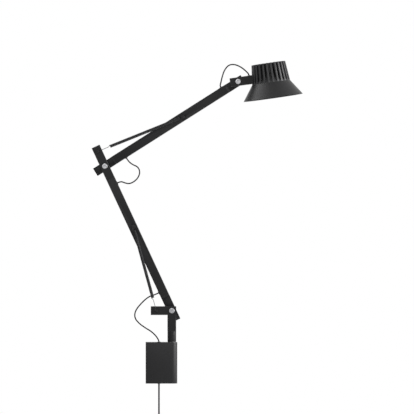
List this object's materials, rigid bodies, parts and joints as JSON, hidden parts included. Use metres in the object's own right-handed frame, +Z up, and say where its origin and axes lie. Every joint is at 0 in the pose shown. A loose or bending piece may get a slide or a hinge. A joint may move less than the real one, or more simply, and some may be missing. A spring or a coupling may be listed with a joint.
{
  "type": "wall lamp",
  "caption": "Articulating wall lamp with square-bar arms, balance springs, a swivelling wall box and a finned head with a conical shade.",
  "frame": {"origin": "on the wall face, at the middle of the wall box", "axes": "+X away from the wall, +Z up, +Y across the wall; the arms and head lie in the XZ plane at rest"},
  "size_m": [0.4855, 0.1376, 0.9269],
  "materials": {
    "plate_steel": "black satin",
    "black_paint": "black satin powder coat",
    "shade_paint": "black satin powder coat",
    "dark_steel": "blackened",
    "spring_steel": "blackened wire",
    "bolt_steel": "satin",
    "bearing_plastic": "smooth",
    "black_plastic": "fine texture",
    "driver_case": "matt",
    "grommet_rubber": "matt",
    "lead_sheath": "semi-matt",
    "board_white": "matt",
    "mirror_aluminium": "bright",
    "lens_diffuser": "diffusing",
    "plug_metal": "plated"
  },
  "bodies": {
    "wall_mount": {"wall_plate": "plate_steel", "wall_box": "black_paint", "box_screws": "dark_steel", "led_driver": "driver_case", "box_leads": "lead_sheath", "box_grommets": "grommet_rubber", "post_bushes": "bearing_plastic", "nose_cap": "black_plastic", "supply_cord": "lead_sheath", "supply_coil": "lead_sheath", "coil_tie": "black_plastic", "plug_relief": "black_plastic", "plug_body": "black_plastic", "plug_barrel": "plug_metal", "shoulder_loop_low": "lead_sheath"},
    "swivel": {"swivel_bracket": "black_paint", "post_screw": "bolt_steel", "lever_pin": "dark_steel", "shoulder_bolt": "bolt_steel", "shoulder_washer": "bearing_plastic", "shoulder_nut": "bolt_steel", "shoulder_loop_high": "lead_sheath"},
    "lower_arm": {"lower_arm_tube": "black_paint", "lower_arm_foot": "black_paint", "lower_arm_tail": "black_paint", "shoulder_bush": "bearing_plastic", "lower_anchor_pin": "dark_steel", "tail_pin": "dark_steel", "elbow_bolt": "bolt_steel", "elbow_washer": "bearing_plastic", "elbow_nut": "bolt_steel", "lower_arm_grommets": "grommet_rubber", "lower_arm_lead": "lead_sheath", "lower_spring": "spring_steel"},
    "upper_arm": {"upper_arm_tube": "black_paint", "upper_arm_foot": "black_paint", "upper_arm_tip": "black_paint", "elbow_bush": "bearing_plastic", "head_bush": "bearing_plastic", "upper_anchor_pin": "dark_steel", "upper_arm_grommets": "grommet_rubber", "upper_arm_lead": "lead_sheath", "upper_spring": "spring_steel", "elbow_loop": "lead_sheath"},
    "head": {"head_bracket": "black_paint", "head_bolt": "bolt_steel", "head_washer": "bearing_plastic", "head_nut": "bolt_steel", "bracket_grommet": "grommet_rubber", "bracket_grub": "dark_steel", "head_lead": "lead_sheath", "heat_sink": "black_paint", "shade": "shade_paint", "reflector": "mirror_aluminium", "led_board": "board_white", "board_screws": "bolt_steel", "lens": "lens_diffuser", "lens_ring": "shade_paint", "ring_screws": "dark_steel", "head_loop": "lead_sheath"}
  },
  "joints": [
    {"name": "post_swivel", "type": "hinge", "parent": "wall_mount", "child": "swivel", "pos_m": [0.06, 0, 0.0485], "axis": [0, 0, 1], "range_deg": [-90, 90], "deforming": ["shoulder_loop_low"]},
    {"name": "shoulder_pivot", "type": "hinge", "parent": "swivel", "child": "lower_arm", "pos_m": [0.06, 0, 0.12], "axis": [0, 1, 0], "range_deg": [-31, 85], "deforming": ["shoulder_loop_high", "lower_spring"]},
    {"name": "elbow_pivot", "type": "hinge", "parent": "lower_arm", "child": "upper_arm", "pos_m": [-0.0941, 0, 0.45198], "axis": [0, 1, 0], "range_deg": [-34, 49], "deforming": ["elbow_loop", "upper_spring"]},
    {"name": "head_tilt", "type": "hinge", "parent": "upper_arm", "child": "head", "pos_m": [0.21239, 0, 0.64648], "axis": [0, 1, 0], "range_deg": [-90, 55], "deforming": ["head_loop"]}
  ]
}
